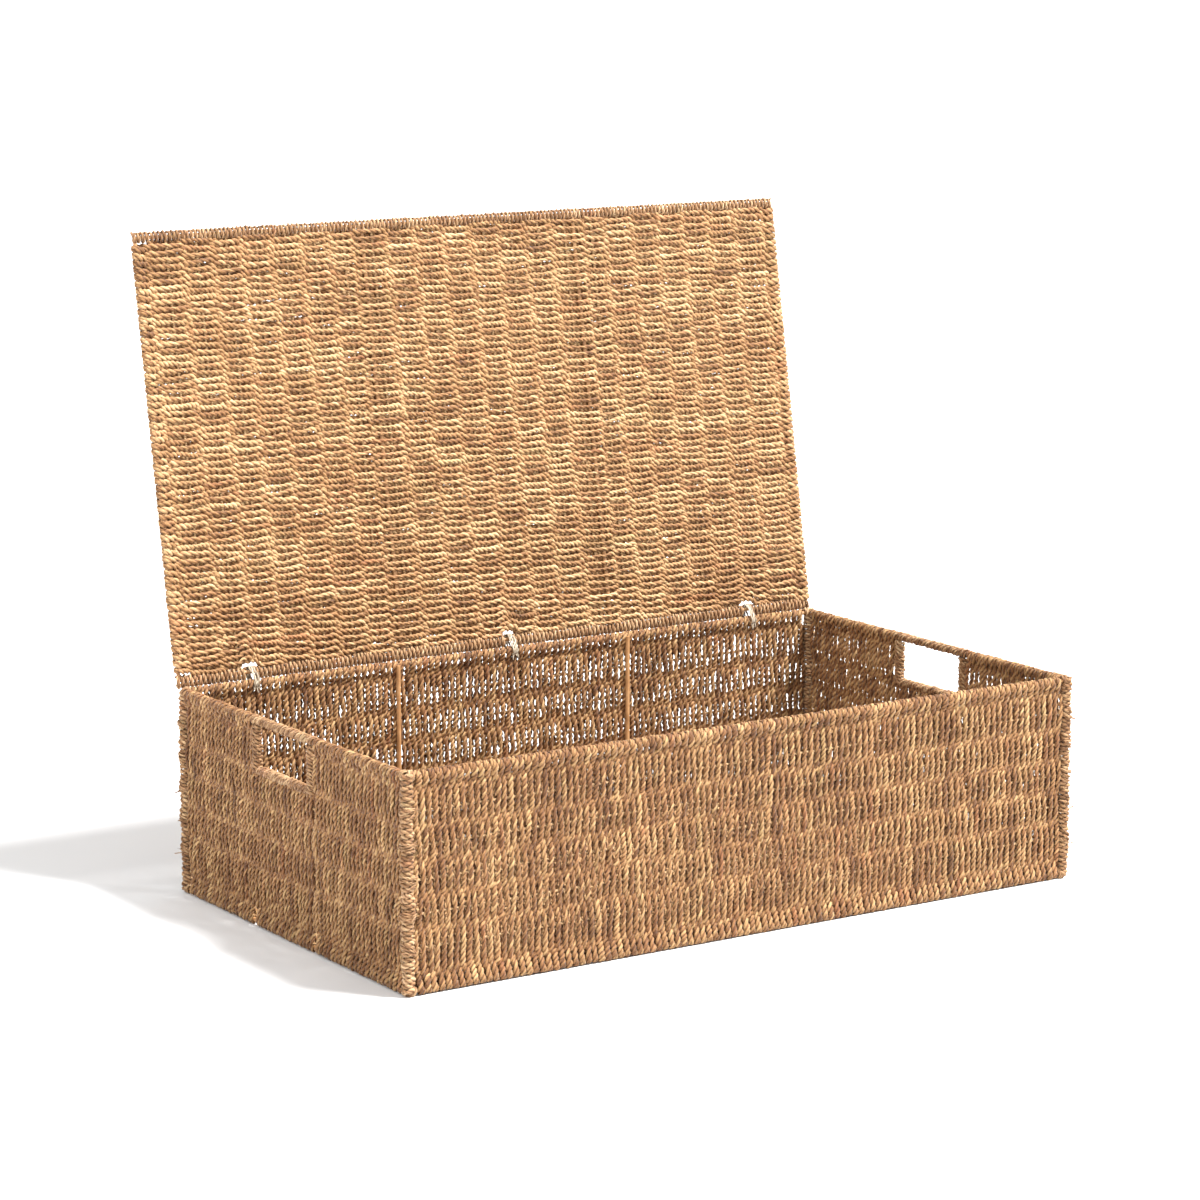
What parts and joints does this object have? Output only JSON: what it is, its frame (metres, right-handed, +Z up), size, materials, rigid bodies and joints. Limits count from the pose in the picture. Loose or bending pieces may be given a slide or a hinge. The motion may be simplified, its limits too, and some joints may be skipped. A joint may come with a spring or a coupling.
{
  "type": "lidded storage basket",
  "caption": "Long, low storage basket of woven seagrass cord on a wire frame, with a full-size lid tied along the back rim and a bound hand hole in each short wall.",
  "frame": {"origin": "middle of the basket's underside, on the surface it stands on", "axes": "+X along the long walls to the basket's right, +Y to the back where the lid hinges, +Z up"},
  "size_m": [0.702, 0.4766, 0.5874],
  "materials": {
    "seagrass_weave": "twisted seagrass cord, matt with a dry straw sheen",
    "seagrass_binding": "tightly wound seagrass cord, matt",
    "warp_cord": "thin hard twisted cord, matt",
    "frame_wire": "light brown coating, satin",
    "hinge_tape": "off-white woven tape, semi-matt"
  },
  "bodies": {
    "basket": {"top_rim_wire": "frame_wire", "bottom_rim_wire": "frame_wire", "corner_post_front_left": "frame_wire", "corner_post_front_right": "frame_wire", "corner_post_back_left": "frame_wire", "corner_post_back_right": "frame_wire", "front_wall_posts": "frame_wire", "back_wall_posts": "frame_wire", "base_cross_wires": "frame_wire", "left_handle_frame": "frame_wire", "right_handle_frame": "frame_wire", "front_wall_warps": "warp_cord", "back_wall_warps": "warp_cord", "left_wall_warps": "warp_cord", "right_wall_warps": "warp_cord", "base_warps": "warp_cord", "front_wall_weave": "seagrass_weave", "back_wall_weave": "seagrass_weave", "left_wall_weave": "seagrass_weave", "right_wall_weave": "seagrass_weave", "base_weave": "seagrass_weave", "left_handle_grip_binding": "seagrass_binding", "left_handle_side_bindings": "seagrass_binding", "left_handle_sill_binding": "seagrass_binding", "right_handle_grip_binding": "seagrass_binding", "right_handle_side_bindings": "seagrass_binding", "right_handle_sill_binding": "seagrass_binding", "corner_binding_front_left": "seagrass_binding", "corner_binding_front_right": "seagrass_binding", "corner_binding_back_left": "seagrass_binding", "corner_binding_back_right": "seagrass_binding", "corner_knots": "seagrass_binding", "hinge_tie_left": "hinge_tape", "hinge_tie_middle": "hinge_tape", "hinge_tie_right": "hinge_tape"},
    "lid": {"lid_frame_wire": "frame_wire", "lid_cross_wires": "frame_wire", "lid_warps": "warp_cord", "lid_weave": "seagrass_weave", "lid_front_binding": "seagrass_binding", "lid_back_binding": "seagrass_binding"}
  },
  "joints": [
    {"name": "lid_hinge", "type": "hinge", "parent": "basket", "child": "lid", "pos_m": [0, 0.203, 0.1936], "axis": [1, 0, 0], "range_deg": [0, 100]}
  ]
}
